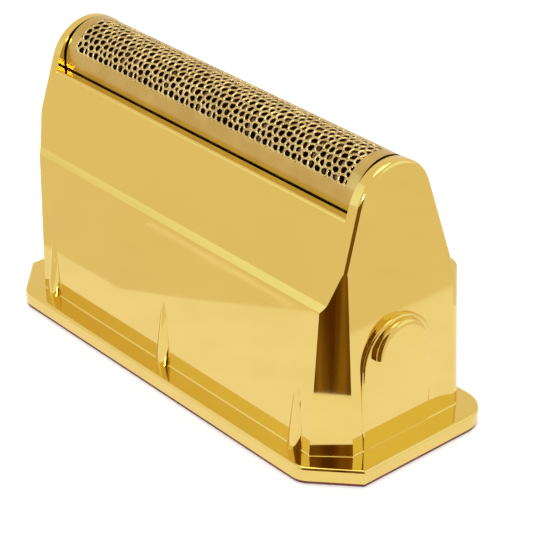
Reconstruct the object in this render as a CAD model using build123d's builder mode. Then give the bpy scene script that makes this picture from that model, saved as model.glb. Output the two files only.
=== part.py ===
"""Single-foil shaver head: a plated shell, a sprung foil cassette and an oscillating cutter.

Millimetres. X runs along the foil, Y points from the front to the back, Z points up.
The origin is on the underside of the base seal, at the middle of the flange.
"""
import os
from math import cos, radians, sin, tan

from build123d import *

os.makedirs("parts", exist_ok=True)

# Flange
flange_length = 58.0
flange_depth = 23.2
flange_bottom = 0.35
flange_top = 1.9
flange_chamfer_x = 5.0
flange_chamfer_y = 4.6
flange_rear_radius = 3.6
flange_front_radius = 2.5
flange_edge_radius = 0.35
junction_radius = 0.2

# Skirt, measured where it meets the flange and at the ridge above it
end_x = 26.24
end_draft = 2.0
chamfer_x = 3.15
chamfer_y = 3.26
chamfer_lean = 0.05
front_low_y = -9.32
ridge_y = -8.5
ridge_z = 18.7
ridge_radius = 0.5
rear_low_y = 10.15
rear_high_y = 9.87
ledge_z = 18.4
rear_corner_radius = 2.0

# Upper body and its arched ends
arch_radius = 5.1
arch_centre_z = 27.9
side_slope = 18.0
flare_y = -8.01
flare_z = 19.3
flare_radius = 3.0
end_edge_radius = 0.5
sill_edge_radius = 0.35

# Opening for the foil, and the hollow behind it
opening_half_length = 23.8
opening_z = 28.0
throat_half_top = 4.85
lip_half = 4.35
lip_low_z = 26.9
lip_high_z = 27.3
throat_half_low = 6.9
throat_low_z = 17.0
cavity_half_length = 24.4
cavity_front_y = -7.9
cavity_rear_y = 8.6
cavity_top_z = 17.6
cavity_corner = 3.0
catch_depth = 0.5

# Ribs on the front of the skirt
rib_centres = (-21.2, -0.9, 20.9)
rib_radius = 0.95
rib_top_z = 8.7

# Finger grips on the two ends
grip_half_width = 4.8
grip_arc_z = 11.4
grip_face_x = 26.3
grip_edge_radius = 0.3
thumb_catch_radius = 3.5
thumb_catch_low_z = 12.5
thumb_catch_height = 0.8
thumb_catch_edge_radius = 0.6

# Foil and its frame
foil_radius = 4.1
foil_thickness = 0.12
foil_centre_z = 29.0
foil_half_length = 23.55
foil_leg_bottom_z = 24.6
frame_half_length = 23.5
frame_half_width = 4.9
frame_bottom_z = 22.0
frame_top_z = 24.4
frame_window_x = 22.4
frame_window_y = 3.3
upstand_top_z = 26.5
end_plate_inner_x = 22.45
foot_inner_x = 18.6
foot_bottom_z = 20.6
foot_half_width = 4.2
clamp_outer_y = 4.5
clamp_bottom_z = 24.7
clamp_top_z = 26.3
clamp_half_length = 21.5
stake_radius = 0.45
stake_head_radius = 0.7
stake_head_y = 4.66
stake_z = 25.5
stake_centres = (-17.0, 0.0, 17.0)
guide_post_x = 21.05
post_radius = 0.9
post_clearance = 0.05

# Cutter
cutter_radius = 3.85
blade_count = 22
blade_half_span = 20.4
blade_thickness = 0.3
blade_slot_clearance = 0.01
blade_shoulder_z = 27.4
blade_tab_half_width = 2.2
blade_tab_bottom_z = 24.8
blade_window_radius = 2.6
blade_base_half_width = 3.2
blade_base_top_z = 28.2
rod_radius = 0.4
rod_clearance = 0.02
rod_z = 27.3
rod_half_length = 20.9
carrier_half_length = 21.0
carrier_half_width = 2.6
carrier_bottom_z = 23.4
carrier_top_z = 26.0
cutter_post_x = 9.0
cutter_post_bottom_z = 16.2

# Seal under the flange
seal_inset = 0.1

# Inner frame, drive bridge and its guides
inner_half_length = 24.2
inner_front_y = -7.7
inner_rear_y = 8.4
inner_bottom_z = 13.0
inner_top_z = 15.6
inner_window_x = 14.8
inner_window_y = 3.4
bridge_half_length = 13.0
bridge_half_width = 3.2
bridge_bottom_z = 14.4
bridge_top_z = 17.4
bridge_flange_y = 4.8
bridge_flange_low_z = 15.7
bridge_flange_high_z = 16.6
bridge_flange_half_length = 12.0
boss_radius = 3.1
bush_bottom_z = 10.5
bush_top_z = 16.0
bush_radius = 2.4
drive_bore_radius = 1.5
guide_half_length = 13.5
guide_inner_y = 4.9
guide_outer_y = 6.6
guide_lip_y = 4.0
guide_lip_z = 16.7
guide_top_z = 17.6

# Springs and screws
spring_radius = 1.5
spring_wire = 0.15
spring_turns = 5
frame_screw_x = 19.5
frame_screw_y = (-6.6, 7.0)
frame_screw_radius = 0.55
frame_screw_head = 1.2
frame_screw_top_z = 17.4
screw_boss_radius = 1.5
screw_boss_top_z = 18.0
guide_screw_x = 11.5
guide_screw_y = 5.8
guide_screw_radius = 0.45
guide_screw_head = 0.8
guide_screw_bottom_z = 13.8


def end_at(z):
    """Half-length of the drafted shell at height z."""
    return end_x - tan(radians(end_draft)) * (z - flange_top)


def side_at(z):
    """Half-width of the straight sloping side at height z."""
    angle = radians(side_slope)
    tangent_y = arch_radius * cos(angle)
    tangent_z = arch_centre_z + arch_radius * sin(angle)
    return tangent_y + tan(angle) * (tangent_z - z)


def save(builder, label):
    """Label one sub-part and write it to its own file."""
    builder.part.label = label
    export_step(builder.part, f"parts/{label}.step")


def box_between(low, high, mode=Mode.ADD):
    """A box from its lowest corner to its highest corner."""
    size = [high[i] - low[i] for i in range(3)]
    centre = [(high[i] + low[i]) / 2 for i in range(3)]
    with Locations(tuple(centre)):
        Box(size[0], size[1], size[2], mode=mode)


def rod_between(x, y, low_z, high_z, radius, mode=Mode.ADD):
    """An upright cylinder."""
    with Locations((x, y, (low_z + high_z) / 2)):
        Cylinder(radius, high_z - low_z, mode=mode)


def trim_ends():
    """Cut the drafted end walls on the part being built."""
    draft = radians(end_draft)
    for side in (-1, 1):
        wall = Plane(origin=(side * end_x, 0, flange_top), z_dir=(side * cos(draft), 0, sin(draft)))
        split(bisect_by=wall, keep=Keep.BOTTOM)


def trim_front_corners():
    """Cut the upright chamfers at both front corners on the part being built."""
    for side in (-1, 1):
        corner = (side * (end_x - chamfer_x), front_low_y, flange_top)
        wall = Plane(origin=corner, z_dir=(side * chamfer_y, -chamfer_x, chamfer_lean))
        split(bisect_by=wall, keep=Keep.BOTTOM)


# Shell: one cross-section runs the whole length, trimmed by the drafted ends
slope = radians(side_slope)
arch_side_y = arch_radius * cos(slope)
arch_side_z = arch_centre_z + arch_radius * sin(slope)
arch_top_z = arch_centre_z + arch_radius
rear_foot_z = ledge_z - 0.4
rear_foot_y = 5.0

with BuildPart() as section_body:
    with BuildSketch(Plane.YZ) as section:
        with BuildLine():
            front_wall = Polyline(
                (front_low_y, flange_top - 0.5),
                (ridge_y, ridge_z),
                (flare_y, flare_z),
                (-arch_side_y, arch_side_z),
            )
            ThreePointArc((-arch_side_y, arch_side_z), (0, arch_top_z), (arch_side_y, arch_side_z))
            Polyline(
                (arch_side_y, arch_side_z),
                (side_at(rear_foot_z), rear_foot_z),
                (rear_foot_y, rear_foot_z),
                (rear_foot_y, flange_top - 0.5),
                front_wall @ 0,
            )
        make_face()
        fillet(section.vertices().sort_by_distance((ridge_y, ridge_z))[:1], ridge_radius)
        fillet(section.vertices().sort_by_distance((flare_y, flare_z))[:1], flare_radius)
    extrude(amount=flange_length, both=True)
    trim_ends()
    trim_front_corners()
    end_faces = section_body.faces().sort_by(Axis.X)
    for end_face in (end_faces[0], end_faces[-1]):
        rim = end_face.edges().filter_by(lambda e: e.center().Z > ledge_z + 4)
        fillet(rim, end_edge_radius)

with BuildPart() as rear_skirt:
    with BuildSketch(Plane.YZ):
        with BuildLine():
            Polyline(
                (-5.0, flange_top - 0.5),
                (rear_low_y, flange_top - 0.5),
                (rear_high_y, ledge_z),
                (-5.0, ledge_z),
                close=True,
            )
        make_face()
    extrude(amount=flange_length, both=True)
    trim_ends()
    rear_corners = rear_skirt.edges().filter_by(Plane.XY, reverse=True).sort_by(Axis.Y)[-2:]
    fillet(rear_corners, rear_corner_radius)
    ledge_rim = rear_skirt.faces().sort_by(Axis.Z)[-1].edges().sort_by(Axis.Y)[1:]
    fillet(ledge_rim.filter_by(lambda e: e.center().Y > 0.1), 0.4)

with BuildPart() as end_grip:
    with BuildSketch(Plane.YZ.offset(cavity_half_length + 0.3)):
        with BuildLine():
            Polyline(
                (-grip_half_width, grip_arc_z),
                (-grip_half_width, flange_top - 0.5),
                (grip_half_width, flange_top - 0.5),
                (grip_half_width, grip_arc_z),
            )
            ThreePointArc(
                (grip_half_width, grip_arc_z),
                (0, grip_arc_z + grip_half_width),
                (-grip_half_width, grip_arc_z),
            )
        make_face()
    extrude(amount=grip_face_x - cavity_half_length - 0.3)
    grip_rim = end_grip.faces().sort_by(Axis.X)[-1].edges()
    fillet(grip_rim.filter_by(lambda e: e.center().Z > flange_top), grip_edge_radius)

with BuildPart() as thumb_catch:
    with BuildSketch(Plane.YZ.offset(grip_face_x - 0.5)):
        with BuildLine():
            Line((-thumb_catch_radius, thumb_catch_low_z), (thumb_catch_radius, thumb_catch_low_z))
            ThreePointArc(
                (thumb_catch_radius, thumb_catch_low_z),
                (0, thumb_catch_low_z + thumb_catch_radius),
                (-thumb_catch_radius, thumb_catch_low_z),
            )
        make_face()
    extrude(amount=thumb_catch_height + 0.5)
    # Only the curved shoulder is rounded, so that a fingernail finds the lower edge
    thumb_catch_rim = thumb_catch.faces().sort_by(Axis.X)[-1].edges()
    fillet(thumb_catch_rim.filter_by(GeomType.CIRCLE), thumb_catch_edge_radius)

with BuildPart() as front_rib:
    rib_lean = (rib_radius + 0.1) / (rib_top_z - flange_top)
    rib_foot = Plane(origin=(0, front_low_y + 0.1, flange_top - 0.6), z_dir=(0, rib_lean, 1))
    with BuildSketch(rib_foot):
        Circle(rib_radius)
    extrude(amount=rib_top_z - flange_top + 2.5)


def flange_outline(sketch):
    """Flange outline with blended front chamfers and rounded rear corners."""
    half = flange_length / 2
    depth = flange_depth / 2
    Polygon(
        (-half + flange_chamfer_x, -depth),
        (half - flange_chamfer_x, -depth),
        (half, -depth + flange_chamfer_y),
        (half, depth),
        (-half, depth),
        (-half, -depth + flange_chamfer_y),
        align=None,
    )
    fillet(sketch.vertices().sort_by(Axis.Y)[:2], flange_front_radius)
    fillet(sketch.vertices().sort_by(Axis.Y)[-2:], flange_rear_radius)


def inner_outline(half_length, front_y, rear_y, corner):
    """Rectangle with chamfered corners, used inside the skirt."""
    with Locations((0, (front_y + rear_y) / 2)):
        outline = Rectangle(2 * half_length, rear_y - front_y)
    chamfer(outline.vertices(), corner)


with BuildPart() as flange:
    with BuildSketch(Plane.XY.offset(flange_bottom)) as flange_face:
        flange_outline(flange_face)
    extrude(amount=flange_top - flange_bottom)
    fillet(flange.faces().sort_by(Axis.Z)[-1].edges(), flange_edge_radius)

def is_junction(edge):
    """True for the concave edges between the skirt's walls and the flange's top."""
    centre = edge.center()
    inside = abs(centre.X) < end_x + 0.5 and front_low_y - 0.2 < centre.Y < rear_low_y + 0.2
    flat = edge.bounding_box().size.Z < 0.001
    return flat and inside and abs(centre.Z - flange_top) < 0.001


with BuildPart() as head_housing:
    add(section_body.part)
    add(rear_skirt.part)
    add(flange.part)
    # Small moulding radius where the skirt meets the flange
    junction = head_housing.edges().filter_by(is_junction)
    fillet(junction, junction_radius)
    for turn in (0, 180):
        add(end_grip.part, rotation=(0, 0, turn))
        add(thumb_catch.part, rotation=(0, 0, turn))
    with Locations([(centre, 0, 0) for centre in rib_centres]):
        add(front_rib.part)
    # Hollow inside the skirt
    with BuildSketch(Plane.XY):
        inner_outline(cavity_half_length, cavity_front_y, cavity_rear_y, cavity_corner)
    extrude(amount=cavity_top_z, mode=Mode.SUBTRACT)
    # Narrower throat above it, open at the top between the two arched ends
    with BuildSketch(Plane.YZ):
        Polygon(
            (-throat_half_low, throat_low_z),
            (throat_half_low, throat_low_z),
            (throat_half_top, lip_low_z),
            (lip_half, lip_high_z),
            (lip_half, opening_z + 0.1),
            (-lip_half, opening_z + 0.1),
            (-lip_half, lip_high_z),
            (-throat_half_top, lip_low_z),
            align=None,
        )
    extrude(amount=opening_half_length, both=True, mode=Mode.SUBTRACT)
    box_between(
        (-opening_half_length, -8, opening_z),
        (opening_half_length, 8, arch_top_z + 1),
        Mode.SUBTRACT,
    )
    # Rounded rims round the opening
    sill = head_housing.faces().filter_by(lambda f: abs(f.center().Z - opening_z) < 0.01)
    for face in sill:
        fillet(face.edges().sort_by(lambda e: -abs(e.center().Y))[:1], sill_edge_radius)
    # Bosses for the inner frame's screws
    for side in (-1, 1):
        for y in frame_screw_y:
            rod_between(side * frame_screw_x, y, inner_top_z, screw_boss_top_z, screw_boss_radius)
            rod_between(
                side * frame_screw_x, y, inner_top_z, frame_screw_top_z,
                frame_screw_radius, Mode.SUBTRACT,
            )
    # Catch ridges that hold the head on the shaver
    for side in (-1, 1):
        inner = side * (cavity_half_length - catch_depth)
        outer = side * (cavity_half_length + 0.2)
        box_between((min(inner, outer), -3, 4.2), (max(inner, outer), 3, 5.2))
save(head_housing, "head_housing")

with BuildPart() as base_seal:
    with BuildSketch(Plane.XY) as seal_face:
        flange_outline(seal_face)
        offset(amount=-seal_inset)
        with BuildSketch(mode=Mode.SUBTRACT):
            inner_outline(cavity_half_length, cavity_front_y, cavity_rear_y, cavity_corner)
    extrude(amount=flange_bottom)
save(base_seal, "base_seal")


# Inner frame, screwed to the shell's bosses from below
with BuildPart() as inner_frame:
    with BuildSketch(Plane.XY.offset(inner_bottom_z)):
        inner_outline(inner_half_length, inner_front_y, inner_rear_y, cavity_corner)
        Rectangle(2 * inner_window_x, 2 * inner_window_y, mode=Mode.SUBTRACT)
        with Locations((-guide_post_x, 0), (guide_post_x, 0)):
            Circle(post_radius + post_clearance, mode=Mode.SUBTRACT)
        for y in frame_screw_y:
            with Locations((-frame_screw_x, y), (frame_screw_x, y)):
                Circle(frame_screw_radius, mode=Mode.SUBTRACT)
    extrude(amount=inner_top_z - inner_bottom_z)
    for x in (-guide_screw_x, guide_screw_x):
        for y in (-guide_screw_y, guide_screw_y):
            rod_between(x, y, guide_screw_bottom_z, inner_top_z, guide_screw_radius, Mode.SUBTRACT)
save(inner_frame, "inner_frame")


def make_screw(x, y, low_z, high_z, radius, head_radius, head_below):
    """A screw with a slotted round head at one end of its shank."""
    head = 0.8
    rod_between(x, y, low_z, high_z, radius)
    if head_below:
        rod_between(x, y, low_z - head, low_z, head_radius)
        slot_low, slot_high = low_z - head, low_z - head + 0.35
    else:
        rod_between(x, y, high_z, high_z + head, head_radius)
        slot_low, slot_high = high_z + head - 0.35, high_z + head
    box_between((x - head_radius, y - 0.15, slot_low), (x + head_radius, y + 0.15, slot_high), Mode.SUBTRACT)


screw_places = [(x, y) for x in (-frame_screw_x, frame_screw_x) for y in frame_screw_y]
for number, (x, y) in enumerate(screw_places, start=1):
    with BuildPart() as frame_screw:
        make_screw(x, y, inner_bottom_z, frame_screw_top_z, frame_screw_radius, frame_screw_head, True)
    save(frame_screw, f"frame_screw_{number}")


# Guides that hold the drive bridge down and let it slide along X
for side, label in ((-1, "front"), (1, "rear")):
    with BuildPart() as bridge_guide:
        with BuildSketch(Plane.YZ):
            Polygon(
                (side * guide_inner_y, inner_top_z),
                (side * guide_outer_y, inner_top_z),
                (side * guide_outer_y, guide_top_z),
                (side * guide_lip_y, guide_top_z),
                (side * guide_lip_y, guide_lip_z),
                (side * guide_inner_y, guide_lip_z),
                align=None,
            )
        extrude(amount=guide_half_length, both=True)
        for x in (-guide_screw_x, guide_screw_x):
            rod_between(
                x, side * guide_screw_y, inner_top_z, guide_top_z, guide_screw_radius, Mode.SUBTRACT
            )
    save(bridge_guide, f"bridge_guide_{label}")

guide_screw_ys = (-guide_screw_y, guide_screw_y)
screw_places = [(x, y) for x in (-guide_screw_x, guide_screw_x) for y in guide_screw_ys]
for number, (x, y) in enumerate(screw_places, start=1):
    with BuildPart() as guide_screw:
        make_screw(x, y, guide_screw_bottom_z, guide_top_z, guide_screw_radius, guide_screw_head, False)
    save(guide_screw, f"guide_screw_{number}")


# Drive bridge, moved side to side by the shaver's pin in its brass bush
with BuildPart() as drive_bridge:
    box_between(
        (-bridge_half_length, -bridge_half_width, bridge_bottom_z),
        (bridge_half_length, bridge_half_width, bridge_top_z),
    )
    box_between(
        (-bridge_flange_half_length, -bridge_flange_y, bridge_flange_low_z),
        (bridge_flange_half_length, bridge_flange_y, bridge_flange_high_z),
    )
    rod_between(0, 0, bush_bottom_z, bridge_bottom_z, boss_radius)
    rod_between(0, 0, bush_bottom_z, bush_top_z, bush_radius, Mode.SUBTRACT)
    for x in (-cutter_post_x, cutter_post_x):
        rod_between(x, 0, bridge_bottom_z, bridge_top_z, post_radius + post_clearance, Mode.SUBTRACT)
save(drive_bridge, "drive_bridge")

with BuildPart() as drive_bush:
    rod_between(0, 0, bush_bottom_z, bush_top_z, bush_radius)
    rod_between(0, 0, bush_bottom_z, bush_top_z - 0.5, drive_bore_radius, Mode.SUBTRACT)
save(drive_bush, "drive_bush")


def make_spring(x, low_z, high_z):
    """A coil spring with its ends inside the two heights."""
    height = high_z - low_z - 2 * spring_wire
    with Locations((x, 0, low_z + spring_wire)):
        with BuildLine(mode=Mode.PRIVATE) as coil:
            Helix(pitch=height / spring_turns, height=height, radius=spring_radius)
        start = Plane(origin=coil.line @ 0, z_dir=coil.line % 0)
        with BuildSketch(start, mode=Mode.PRIVATE) as wire:
            Circle(spring_wire)
        add(sweep(wire.sketch, path=coil.line, is_frenet=True, mode=Mode.PRIVATE))


for side, label in ((-1, "left"), (1, "right")):
    with BuildPart() as foil_spring:
        make_spring(side * guide_post_x, inner_top_z, foot_bottom_z)
    save(foil_spring, f"foil_spring_{label}")
    with BuildPart() as cutter_spring:
        make_spring(side * cutter_post_x, bridge_top_z, carrier_bottom_z)
    save(cutter_spring, f"cutter_spring_{label}")


# Foil frame, with a sprung foot and guide post at each end
with BuildPart() as foil_frame:
    box_between(
        (-frame_half_length, -frame_half_width, frame_bottom_z),
        (frame_half_length, frame_half_width, frame_top_z),
    )
    foil_inner_radius = foil_radius - foil_thickness
    box_between(
        (-frame_window_x, -foil_inner_radius, frame_top_z),
        (frame_window_x, foil_inner_radius, upstand_top_z),
    )
    box_between(
        (-frame_window_x, -frame_window_y, frame_bottom_z),
        (frame_window_x, frame_window_y, upstand_top_z),
        Mode.SUBTRACT,
    )
    for side in (-1, 1):
        near = min(side * foot_inner_x, side * frame_half_length)
        far = max(side * foot_inner_x, side * frame_half_length)
        box_between((near, -foot_half_width, foot_bottom_z), (far, foot_half_width, frame_bottom_z))
        rod_between(side * guide_post_x, 0, inner_bottom_z + 0.9, foot_bottom_z, post_radius)
        for x in stake_centres:
            with BuildSketch(Plane.XZ.offset(-side * (frame_window_y + foil_inner_radius) / 2)):
                with Locations((x, stake_z)):
                    Circle(stake_radius)
            extrude(amount=1.0, both=True, mode=Mode.SUBTRACT)
save(foil_frame, "foil_frame")


def arch_outline(radius, low_z, mode=Mode.ADD):
    """Half-round top on straight sides that reach lower than the round itself."""
    with Locations((0, foil_centre_z)):
        Circle(radius, mode=mode)
    with Locations((0, (foil_centre_z + low_z) / 2)):
        Rectangle(2 * radius, foil_centre_z - low_z, mode=mode)


with BuildPart() as foil:
    with BuildSketch(Plane.YZ):
        arch_outline(foil_radius, foil_leg_bottom_z)
        arch_outline(foil_inner_radius, foil_leg_bottom_z, Mode.SUBTRACT)
    extrude(amount=foil_half_length, both=True)
    for x in stake_centres:
        with BuildSketch(Plane.XZ):
            with Locations((x, stake_z)):
                Circle(stake_radius)
        extrude(amount=foil_radius + 1, both=True, mode=Mode.SUBTRACT)
save(foil, "foil")

for side, label in ((-1, "left"), (1, "right")):
    with BuildPart() as foil_end:
        with BuildSketch(Plane.YZ.offset(side * end_plate_inner_x)):
            arch_outline(foil_inner_radius, frame_top_z)
        extrude(amount=side * (frame_half_length - end_plate_inner_x))
    save(foil_end, f"foil_end_{label}")

for side, label in ((-1, "front"), (1, "rear")):
    inner = side * foil_radius
    outer = side * clamp_outer_y
    with BuildPart() as foil_clamp:
        box_between(
            (-clamp_half_length, min(inner, outer), clamp_bottom_z),
            (clamp_half_length, max(inner, outer), clamp_top_z),
        )
        for x in stake_centres:
            with BuildSketch(Plane.XZ.offset(-(inner + outer) / 2)):
                with Locations((x, stake_z)):
                    Circle(stake_radius)
            extrude(amount=0.5, both=True, mode=Mode.SUBTRACT)
    save(foil_clamp, f"foil_clamp_{label}")
    for number, x in enumerate(stake_centres, start=1):
        with BuildPart() as foil_stake:
            with BuildSketch(Plane.XZ.offset(-side * frame_window_y)):
                with Locations((x, stake_z)):
                    Circle(stake_radius)
            extrude(amount=-side * (clamp_outer_y - frame_window_y))
            with BuildSketch(Plane.XZ.offset(-outer)):
                with Locations((x, stake_z)):
                    Circle(stake_head_radius)
            extrude(amount=-side * (stake_head_y - clamp_outer_y))
        save(foil_stake, f"foil_stake_{label}_{number}")


# Cutter block: thin arched blades standing in a slotted carrier
blade_step = 2 * blade_half_span / (blade_count - 1)
blade_centres = [-blade_half_span + blade_step * number for number in range(blade_count)]

with BuildPart() as cutter_carrier:
    box_between(
        (-carrier_half_length, -carrier_half_width, carrier_bottom_z),
        (carrier_half_length, carrier_half_width, carrier_top_z),
    )
    for x in (-cutter_post_x, cutter_post_x):
        rod_between(x, 0, cutter_post_bottom_z, carrier_bottom_z, post_radius)
    slot_half = blade_thickness / 2 + blade_slot_clearance
    for x in blade_centres:
        box_between(
            (x - slot_half, -blade_tab_half_width - 0.01, blade_tab_bottom_z),
            (x + slot_half, blade_tab_half_width + 0.01, carrier_top_z),
            Mode.SUBTRACT,
        )
save(cutter_carrier, "cutter_carrier")

with BuildPart() as blade_rod:
    with BuildSketch(Plane.YZ):
        with Locations((0, rod_z)):
            Circle(rod_radius)
    extrude(amount=rod_half_length, both=True)
save(blade_rod, "blade_rod")

for number, x in enumerate(blade_centres, start=1):
    with BuildPart() as cutter_blade:
        with BuildSketch(Plane.YZ.offset(x)):
            with Locations((0, foil_centre_z)):
                Circle(cutter_radius)
                Circle(blade_window_radius, mode=Mode.SUBTRACT)
            with Locations((0, blade_shoulder_z - cutter_radius)):
                Rectangle(2 * cutter_radius, 2 * cutter_radius, mode=Mode.SUBTRACT)
            Polygon(
                (-blade_base_half_width, blade_base_top_z),
                (-blade_tab_half_width, carrier_top_z),
                (-blade_tab_half_width, blade_tab_bottom_z),
                (blade_tab_half_width, blade_tab_bottom_z),
                (blade_tab_half_width, carrier_top_z),
                (blade_base_half_width, blade_base_top_z),
                align=None,
            )
            with Locations((0, rod_z)):
                Circle(rod_radius + rod_clearance, mode=Mode.SUBTRACT)
        extrude(amount=blade_thickness / 2, both=True)
    save(cutter_blade, f"cutter_blade_{number:02d}")
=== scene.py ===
"""Looks of a gold-plated single-foil shaver head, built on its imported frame. Metres, Z up."""
import math
import random

import bpy
import numpy as np
from mathutils import Matrix, Vector


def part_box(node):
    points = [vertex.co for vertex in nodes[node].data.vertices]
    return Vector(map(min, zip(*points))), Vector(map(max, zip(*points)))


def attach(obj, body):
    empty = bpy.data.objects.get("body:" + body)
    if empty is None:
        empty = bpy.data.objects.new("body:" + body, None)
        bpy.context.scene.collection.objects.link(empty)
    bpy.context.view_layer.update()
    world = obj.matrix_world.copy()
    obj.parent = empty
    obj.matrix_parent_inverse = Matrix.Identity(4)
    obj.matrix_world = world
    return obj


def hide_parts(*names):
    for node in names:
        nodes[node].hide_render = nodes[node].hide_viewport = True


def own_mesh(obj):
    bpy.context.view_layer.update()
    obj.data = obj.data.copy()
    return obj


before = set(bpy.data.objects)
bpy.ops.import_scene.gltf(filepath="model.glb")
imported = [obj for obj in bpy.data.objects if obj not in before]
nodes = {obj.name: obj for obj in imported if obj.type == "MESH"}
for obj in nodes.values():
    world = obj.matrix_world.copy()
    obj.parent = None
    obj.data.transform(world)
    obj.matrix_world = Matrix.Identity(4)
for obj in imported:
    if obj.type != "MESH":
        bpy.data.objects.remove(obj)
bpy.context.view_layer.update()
MM = 0.001

# Foil sheet and its holes. Shares run from a cell's edge, 0, to its hole, 1.
FOIL_RADIUS = 4.1 * MM
FOIL_THICKNESS = 0.12 * MM
FIRST_ROW_ANGLE = math.radians(21)
TILE_LENGTH = 4.44 * MM
TILE_COUNT = 10
TILE_COLUMNS = 5
ROWS = 12
JITTER = 0.3
BAR_HALF_WIDTH = 0.155 * MM
LOOP_POINTS = 20
LONGEST_REACH = 1.2
NARROWEST_BAR = 0.6
CREST_SHARE = 0.4
SHOULDER_SHARE = 0.8
CREST_DEPTH = 0.01 * MM
SHOULDER_DEPTH = 0.045 * MM
HOLE_EDGE_DEPTH = 0.1 * MM
PLAIN_STEP = 0.25 * MM


# ---------------------------------------------------------------- materials

class Nodes:
    """A small helper for writing one material's node tree."""

    def __init__(self, name):
        self.material = bpy.data.materials.new(name)
        self.material.use_nodes = True
        self.tree = self.material.node_tree
        self.shader = self.tree.nodes["Principled BSDF"]
        self.coords = self.tree.nodes.new("ShaderNodeTexCoord").outputs["Object"]

    def set(self, **values):
        for name, value in values.items():
            self.shader.inputs[name.replace("_", " ")].default_value = value

    def link(self, source, target):
        self.tree.links.new(source, target)

    def noise(self, scale, detail=3.0, stretch=(1, 1, 1), roughness=0.5):
        mapping = self.tree.nodes.new("ShaderNodeMapping")
        mapping.inputs["Scale"].default_value = stretch
        self.link(self.coords, mapping.inputs["Vector"])
        noise = self.tree.nodes.new("ShaderNodeTexNoise")
        noise.inputs["Scale"].default_value = scale
        noise.inputs["Detail"].default_value = detail
        noise.inputs["Roughness"].default_value = roughness
        self.link(mapping.outputs["Vector"], noise.inputs["Vector"])
        return noise.outputs["Fac"]

    def ramp(self, source, stops, target="Base Color"):
        ramp = self.tree.nodes.new("ShaderNodeValToRGB")
        elements = ramp.color_ramp.elements
        for element, (place, colour) in zip(elements, stops):
            element.position = place
            element.color = (*colour, 1)
        for place, colour in stops[2:]:
            elements.new(place).color = (*colour, 1)
        self.link(source, ramp.inputs["Fac"])
        self.link(ramp.outputs["Color"], self.shader.inputs[target])

    def range(self, source, low, high, target="Roughness", start=0.3, end=0.7):
        spread = self.tree.nodes.new("ShaderNodeMapRange")
        spread.inputs["From Min"].default_value = start
        spread.inputs["From Max"].default_value = end
        spread.inputs["To Min"].default_value = low
        spread.inputs["To Max"].default_value = high
        self.link(source, spread.inputs["Value"])
        self.link(spread.outputs["Result"], self.shader.inputs[target])

    def bump(self, *layers):
        """Each layer is (height source, depth in metres)."""
        normal = None
        for source, depth in layers:
            bump = self.tree.nodes.new("ShaderNodeBump")
            bump.inputs["Strength"].default_value = 1.0
            bump.inputs["Distance"].default_value = depth
            self.link(source, bump.inputs["Height"])
            if normal:
                self.link(normal, bump.inputs["Normal"])
            normal = bump.outputs["Normal"]
        self.link(normal, self.shader.inputs["Normal"])


def plated_gold():
    """Mirror-bright plating on a moulded shell, with a faint waviness and handling haze."""
    gold = Nodes("plated_gold")
    gold.set(Metallic=1.0)
    tone = gold.noise(70, 2)
    gold.ramp(tone, [(0.3, (0.79, 0.59, 0.142)), (0.7, (0.81, 0.61, 0.158))])
    gold.range(gold.noise(260, 4), 0.045, 0.085)
    gold.bump((gold.noise(150, 1), 0.000006), (gold.noise(5200, 2), 0.00000012))
    return gold.material


def foil_gold(name, low, high, rough):
    """Satin gold-coloured foil."""
    foil = Nodes(name)
    foil.set(Metallic=1.0)
    tone = foil.noise(420, 4)
    foil.ramp(tone, [(0.3, low), (0.7, high)])
    foil.range(foil.noise(900, 3), rough - 0.05, rough + 0.06)
    foil.bump((foil.noise(2600, 3), 0.0000012))
    return foil.material


def steel(name, low, high, rough, stretch):
    """Ground steel with fine lines along one direction."""
    metal = Nodes(name)
    metal.set(Metallic=1.0)
    lines = metal.noise(900, 3, stretch)
    metal.ramp(lines, [(0.3, low), (0.7, high)])
    metal.range(metal.noise(500, 3, stretch), rough - 0.06, rough + 0.08)
    metal.bump((lines, 0.0000015))
    return metal.material


def plastic(name, low, high, rough, grain_depth):
    """Moulded plastic with a fine spark-eroded grain and a slow change of tone."""
    resin = Nodes(name)
    resin.ramp(resin.noise(180, 4), [(0.3, low), (0.7, high)])
    resin.range(resin.noise(700, 3), rough - 0.07, rough + 0.07)
    resin.bump((resin.noise(5000, 3), grain_depth))
    return resin.material


def rubber():
    """Dark red-brown seal rubber with bloom and moulding texture."""
    seal = Nodes("seal_rubber")
    seal.ramp(seal.noise(300, 5), [(0.35, (0.11, 0.012, 0.008)), (0.7, (0.16, 0.022, 0.014))])
    seal.range(seal.noise(900, 3), 0.55, 0.75)
    seal.bump((seal.noise(3500, 4), 0.00001))
    return seal.material


PLATED = plated_gold()
FOIL = foil_gold("foil_gold", (0.55, 0.38, 0.1), (0.63, 0.45, 0.13), 0.2)
FOIL_BARS = foil_gold("foil_bars", (0.52, 0.38, 0.13), (0.74, 0.57, 0.24), 0.22)
# Cutter steel in dark brown rather than its own grey: painted shade for the dim inside seen through the foil
# holes.
SHADED_BLADE_STEEL = steel("blade_steel", (0.14, 0.085, 0.045), (0.26, 0.17, 0.1), 0.4, (1, 12, 1))
SPRING = steel("spring_steel", (0.42, 0.42, 0.43), (0.6, 0.6, 0.6), 0.26, (1, 1, 6))
SCREW = steel("screw_steel", (0.4, 0.4, 0.42), (0.62, 0.62, 0.62), 0.28, (6, 6, 1))
BRASS = steel("bush_brass", (0.5, 0.31, 0.09), (0.66, 0.44, 0.16), 0.28, (5, 5, 1))
FRAME_PLASTIC = plastic("frame_plastic", (0.06, 0.045, 0.02), (0.085, 0.06, 0.027), 0.42, 0.000005)
DARK_PLASTIC = plastic("dark_plastic", (0.013, 0.013, 0.014), (0.024, 0.024, 0.025), 0.45, 0.000008)
SEAL = rubber()

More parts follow.
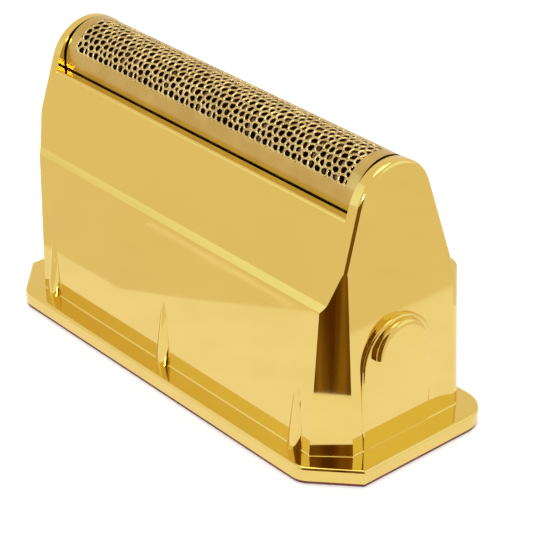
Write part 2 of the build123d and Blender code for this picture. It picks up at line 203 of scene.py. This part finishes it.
LOOKS = (
    ("head_housing", PLATED),
    ("foil_end", FOIL),
    ("foil_clamp", FOIL),
    ("foil_frame", FRAME_PLASTIC),
    ("foil_stake", FRAME_PLASTIC),
    ("foil_spring", SPRING),
    ("foil", FOIL),
    ("base_seal", SEAL),
    ("inner_frame", DARK_PLASTIC),
    ("bridge_guide", DARK_PLASTIC),
    ("drive_bridge", DARK_PLASTIC),
    ("cutter_carrier", DARK_PLASTIC),
    ("cutter_spring", SPRING),
    ("cutter_blade", SHADED_BLADE_STEEL),
    ("blade_rod", SHADED_BLADE_STEEL),
    ("drive_bush", BRASS),
    ("frame_screw", SCREW),
    ("guide_screw", SCREW),
)


def dress_nodes():
    """Give every CAD node the material whose name it starts with."""
    for name, node in nodes.items():
        look = next(material for prefix, material in LOOKS if name.startswith(prefix))
        node.data.materials.clear()
        node.data.materials.append(look)


# ---------------------------------------------------------------- perforated foil

def clip(polygon, point, direction):
    """The part of a convex polygon on the near side of a line through point, across direction."""
    kept = []
    for index, here in enumerate(polygon):
        after = polygon[(index + 1) % len(polygon)]
        here_side = (here - point).dot(direction)
        after_side = (after - point).dot(direction)
        if here_side <= 0:
            kept.append(here)
        if here_side * after_side < 0:
            kept.append(here.lerp(after, here_side / (here_side - after_side)))
    return kept


def tile_seeds(band_height):
    """Hole centres in one tile of the pattern: rows and columns with an irregular offset."""
    shuffle = random.Random(11)
    column_step = TILE_LENGTH / TILE_COLUMNS
    row_step = band_height / ROWS
    seeds = []
    for row in range(ROWS):
        for column in range(TILE_COLUMNS):
            along = (column + 0.5 * (row % 2) + shuffle.uniform(-JITTER, JITTER)) * column_step
            up = (row + 0.5 + shuffle.uniform(-JITTER, JITTER)) * row_step
            seeds.append(Vector((along % TILE_LENGTH, up)))
    return seeds


def cell_round(seed, seeds, band_height, first, last):
    """The region of the band that is nearer to this hole centre than to any other."""
    reach = TILE_LENGTH / 2
    shifts = [0]
    if not first:
        shifts.append(-TILE_LENGTH)
    if not last:
        shifts.append(TILE_LENGTH)
    corners = [(-reach, -reach), (reach, -reach), (reach, reach), (-reach, reach)]
    cell = [seed + Vector(corner) for corner in corners]
    cell = clip(cell, Vector((0, 0)), Vector((0, -1)))
    cell = clip(cell, Vector((0, band_height)), Vector((0, 1)))
    if first:
        cell = clip(cell, Vector((0, 0)), Vector((-1, 0)))
    if last:
        cell = clip(cell, Vector((TILE_LENGTH, 0)), Vector((1, 0)))
    for other in seeds:
        for shift in shifts:
            neighbour = other + Vector((shift, 0))
            gap = neighbour - seed
            if 0 < gap.length < reach:
                cell = clip(cell, (seed + neighbour) / 2, gap)
    return cell


def reach_of(cell, centre, direction):
    """Distance from centre to the cell's edge along a direction."""
    distance = 1.0
    for index, here in enumerate(cell):
        edge = cell[(index + 1) % len(cell)] - here
        across = direction.x * edge.y - direction.y * edge.x
        if abs(across) > 1e-12:
            along = ((here - centre).x * edge.y - (here - centre).y * edge.x) / across
            if along > 0:
                distance = min(distance, along)
    return distance


def hole_loops(cell):
    """Points round a cell's edge, and the rounded outline of the hole inside it."""
    centre = sum(cell, Vector((0, 0))) / len(cell)
    turns = [2 * math.pi * step / LOOP_POINTS for step in range(LOOP_POINTS)]
    directions = [Vector((math.cos(turn), math.sin(turn))) for turn in turns]
    edge = np.array([reach_of(cell, centre, direction) for direction in directions])
    hole = np.minimum(edge, np.median(edge) * LONGEST_REACH) - BAR_HALF_WIDTH
    for _ in range(2):
        hole = (np.roll(hole, 1) + 2 * hole + np.roll(hole, -1)) / 4
    hole = np.minimum(hole, edge - NARROWEST_BAR * BAR_HALF_WIDTH)
    outer = [centre + direction * reach for direction, reach in zip(directions, edge)]
    inner = [centre + direction * reach for direction, reach in zip(directions, hole)]
    return outer, inner


def on_foil(along, around, depth, centre_z):
    """A point on the foil: around is the arc length from the front edge of the half-round top."""
    radius = FOIL_RADIUS - depth
    if around < 0:
        return (along, -radius, centre_z + around)
    if around > math.pi * FOIL_RADIUS:
        return (along, radius, centre_z + math.pi * FOIL_RADIUS - around)
    angle = around / FOIL_RADIUS
    return (along, -radius * math.cos(angle), centre_z + radius * math.sin(angle))


def perforated_foil():
    """The foil with its several hundred rounded holes, its plain borders and its straight legs."""
    low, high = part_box("foil")
    centre_z = high.z - FOIL_RADIUS
    leg = centre_z - low.z
    arc = math.pi * FOIL_RADIUS
    band_start = FIRST_ROW_ANGLE * FOIL_RADIUS
    band_height = arc - 2 * band_start
    band_half = TILE_LENGTH * TILE_COUNT / 2
    points = []
    faces = []

    def strip(loops):
        """Quads between neighbouring closed loops of points."""
        first = len(points)
        size = len(loops[0])
        for loop in loops:
            points.extend(loop)
        for ring in range(len(loops) - 1):
            for step in range(size):
                a = first + ring * size + step
                b = first + ring * size + (step + 1) % size
                faces.append((a, b, b + size, a + size))

    def punched_cell(cell, shift):
        """One hole and the rounded bars round it."""
        outer, inner = hole_loops(cell)
        crest = [here.lerp(after, CREST_SHARE) for here, after in zip(outer, inner)]
        shoulder = [here.lerp(after, SHOULDER_SHARE) for here, after in zip(outer, inner)]
        rings = (
            (outer, 0.0),
            (crest, CREST_DEPTH),
            (shoulder, SHOULDER_DEPTH),
            (inner, HOLE_EDGE_DEPTH),
            (inner, FOIL_THICKNESS),
            (outer, FOIL_THICKNESS),
        )
        loops = []
        for ring, depth in rings:
            loops.append([on_foil(p.x + shift, p.y + band_start, depth, centre_z) for p in ring])
        strip(loops)

    seeds = tile_seeds(band_height)
    for tile in range(TILE_COUNT):
        first = tile == 0
        last = tile == TILE_COUNT - 1
        for seed in seeds:
            cell = cell_round(seed, seeds, band_height, first, last)
            punched_cell(cell, tile * TILE_LENGTH - band_half)

    bar_faces = len(faces)

    def plain(start, end, left, right):
        """A plain part of the sheet, closed all round."""
        steps = max(2, math.ceil((end - start) / PLAIN_STEP))
        loops = []
        for step in range(steps + 1):
            around = start + (end - start) * step / steps
            outside = [on_foil(x, around, 0, centre_z) for x in (left, right)]
            inside = [on_foil(x, around, FOIL_THICKNESS, centre_z) for x in (right, left)]
            loops.append(outside + inside)
        strip(loops)

    plain(-leg, band_start, low.x, high.x)
    plain(arc - band_start, arc + leg, low.x, high.x)
    plain(band_start, arc - band_start, low.x, -band_half)
    plain(band_start, arc - band_start, band_half, high.x)

    mesh = bpy.data.meshes.new("perforated_foil")
    mesh.from_pydata(points, [], faces)
    mesh.shade_smooth()
    mesh.set_sharp_from_angle(angle=math.radians(50))
    sheet = bpy.data.objects.new("perforated_foil", mesh)
    bpy.context.scene.collection.objects.link(sheet)
    mesh.materials.append(FOIL_BARS)
    mesh.materials.append(FOIL)
    for face in mesh.polygons[bar_faces:]:
        face.material_index = 1
    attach(sheet, "foil_cassette")
    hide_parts("foil")


# ---------------------------------------------------------------- springs

def compressible_spring(name, body):
    """A copy of a coil spring's mesh, attached to the body that carries it."""
    coil = bpy.data.objects.new(f"{name}_coil", nodes[name].data.copy())
    bpy.context.scene.collection.objects.link(coil)
    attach(coil, body)
    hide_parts(name)
    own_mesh(coil)


def add_springs():
    """The two springs under the foil cassette and the two under the cutter."""
    for side in ("left", "right"):
        compressible_spring(f"foil_spring_{side}", "housing")
        compressible_spring(f"cutter_spring_{side}", "bridge")


# ---------------------------------------------------------------- studio

CAMERA_TARGET = Vector((7.21, 0.0, 12.86)) * MM
CAMERA_DISTANCE = 218.8 * MM
CAMERA_AZIMUTH = math.radians(49.124)
CAMERA_ELEVATION = math.radians(29.583)
CAMERA_ROLL = math.radians(-0.3)
CAMERA_LENS = 133.6

# Stage outlines, in millimetres on the floor. The cards are seen only as reflections in the gold.
FLOOR_CORNERS = [(-900, -900), (900, -900), (900, 900), (-900, 900)]
NEAR_CARD = [(-40, -18), (-21, -18.6), (-14, -24), (-3, -34.4), (43, -34), (48.5, 14), (48.5, 34), (-40, 34)]
STRIP_CARD = [(-34, -33.4), (-6, -33.4), (-6, -32.6), (-34, -32.6)]


def add_camera():
    """The camera at the photograph's viewing angle."""
    camera = bpy.data.cameras.new("camera")
    camera.lens = CAMERA_LENS
    camera.sensor_width = 36.0
    camera.clip_start = 0.01
    camera.dof.use_dof = False
    holder = bpy.data.objects.new("camera", camera)
    bpy.context.scene.collection.objects.link(holder)
    back = Vector((
        math.sin(CAMERA_AZIMUTH) * math.cos(CAMERA_ELEVATION),
        -math.cos(CAMERA_AZIMUTH) * math.cos(CAMERA_ELEVATION),
        math.sin(CAMERA_ELEVATION),
    ))
    right = Vector((math.cos(CAMERA_AZIMUTH), math.sin(CAMERA_AZIMUTH), 0))
    up = back.cross(right)
    turned_right = math.cos(CAMERA_ROLL) * right + math.sin(CAMERA_ROLL) * up
    turned_up = math.cos(CAMERA_ROLL) * up - math.sin(CAMERA_ROLL) * right
    matrix = Matrix((turned_right, turned_up, back)).transposed().to_4x4()
    matrix.translation = CAMERA_TARGET + back * CAMERA_DISTANCE
    holder.matrix_world = matrix
    bpy.context.scene.camera = holder


def add_sheet(name, corners, material):
    """A flat stage surface from its corner points."""
    mesh = bpy.data.meshes.new(name)
    mesh.from_pydata([Vector(corner) * MM for corner in corners], [], [range(len(corners))])
    mesh.materials.append(material)
    sheet = bpy.data.objects.new(name, mesh)
    bpy.context.scene.collection.objects.link(sheet)
    return sheet


def paper(name, glow):
    """White paper with a slight tooth."""
    sheet = Nodes(name)
    sheet.ramp(sheet.noise(30, 4), [(0.3, (0.80, 0.80, 0.80)), (0.7, (0.82, 0.82, 0.82))])
    sheet.set(Roughness=0.9, Specular_IOR_Level=0.0)
    sheet.set(Emission_Color=(1, 1, 1, 1), Emission_Strength=glow)
    return sheet.material


def card_material(name, low, high, stretch=(1, 1, 1)):
    """A self-lit card, between two brightnesses."""
    card = Nodes(name)
    card.set(Roughness=1.0, Emission_Strength=1.0, Base_Color=(0, 0, 0, 1), Specular_IOR_Level=0.0)
    card.ramp(card.noise(160, 2, stretch), [(0.35, low), (0.65, high)], "Emission Color")
    return card.material


def fading_card(name, left, right, left_x, right_x):
    """A self-lit card whose brightness changes smoothly along X."""
    card = Nodes(name)
    card.set(Roughness=1.0, Emission_Strength=1.0, Base_Color=(0, 0, 0, 1), Specular_IOR_Level=0.0)
    parts = card.tree.nodes.new("ShaderNodeSeparateXYZ")
    card.link(card.coords, parts.inputs["Vector"])
    spread = card.tree.nodes.new("ShaderNodeMapRange")
    spread.interpolation_type = "SMOOTHSTEP"
    spread.inputs["From Min"].default_value = left_x
    spread.inputs["From Max"].default_value = right_x
    card.link(parts.outputs["X"], spread.inputs["Value"])
    card.ramp(spread.outputs["Result"], [(0.0, left), (1.0, right)], "Emission Color")
    return card.material


def only_reflected(sheet):
    """A card that is seen in the gold and nowhere else."""
    sheet.visible_camera = False
    sheet.visible_diffuse = False
    sheet.visible_shadow = False


def add_card(name, start, end, low_z, high_z, material):
    """An upright card between two points of the floor."""
    corners = [(*start, low_z), (*end, low_z), (*end, high_z), (*start, high_z)]
    only_reflected(add_sheet(name, corners, material))


def add_floor_card(name, outline, height, material):
    """A card lying on the floor."""
    only_reflected(add_sheet(name, [(x, y, height) for x, y in outline], material))


def add_tent(material):
    """A light tent: a closed box of cloth round the whole stage."""
    wide = [(-800, -800), (800, -800), (800, 800), (-800, 800)]
    add_floor_card("tent_base", wide, -0.05, material)
    add_floor_card("tent_roof", wide, 900, material)
    for index, start in enumerate(wide):
        add_card(f"tent_wall_{index + 1}", start, wide[(index + 1) % 4], -0.05, 900, material)


def add_softbox(name, place, target, size, power):
    """A square soft light aimed at a point."""
    light = bpy.data.lights.new(name, "AREA")
    light.shape = "SQUARE"
    light.size = size * MM
    light.energy = power
    holder = bpy.data.objects.new(name, light)
    bpy.context.scene.collection.objects.link(holder)
    holder.location = Vector(place) * MM
    aim = (Vector(target) - Vector(place)).to_track_quat("-Z", "Y")
    holder.rotation_euler = aim.to_euler()
    holder.visible_camera = False


def add_studio():
    """Pale floor, a light tent, a softbox by the camera, one overhead, and cards."""
    floor = add_sheet("floor", [(x, y, -0.1) for x, y in FLOOR_CORNERS], paper("floor_paper", 0.3))
    floor.visible_glossy = False
    add_tent(card_material("tent_cloth", (0.9, 0.815, 0.77), (0.93, 0.845, 0.81)))
    bright = card_material("card_white", (1.04, 1.01, 1.16), (1.08, 1.05, 1.24))
    add_floor_card("near_card", NEAR_CARD, -0.02, bright)
    add_floor_card("strip_card", STRIP_CARD, -0.02, bright)
    sky = card_material("card_sky", (1.05, 1.15, 1.35), (1.1, 1.2, 1.45))
    fading = fading_card("card_fading", (0.92, 0.84, 0.8), (1.07, 1.17, 1.4), -195 * MM, -95 * MM)
    add_card("sky_card_front", (-200, -90), (-20, -193), 42, 190, fading)
    add_card("sky_card_side", (190, 60), (70, 190), 42, 190, sky)
    flag = card_material("flag_brown", (0.09, 0.03, 0.0), (0.3, 0.16, 0.02), (6, 6, 0.2))
    add_card("flag", (26, -27), (42, -7), 1.2, 33, flag)
    add_softbox("key", (330, -250, 170), (0, 0, 15), 60, 0.28)
    add_softbox("overhead", (-60, 60, 420), (0, 0, 10), 260, 0.42)
    world = bpy.data.worlds.new("studio")
    world.use_nodes = True
    world.node_tree.nodes["Background"].inputs["Color"].default_value = (1, 1, 1, 1)
    world.node_tree.nodes["Background"].inputs["Strength"].default_value = 1.0
    bpy.context.scene.world = world
    bpy.context.scene.view_settings.view_transform = "Standard"


dress_nodes()
perforated_foil()
add_springs()
add_camera()
add_studio()
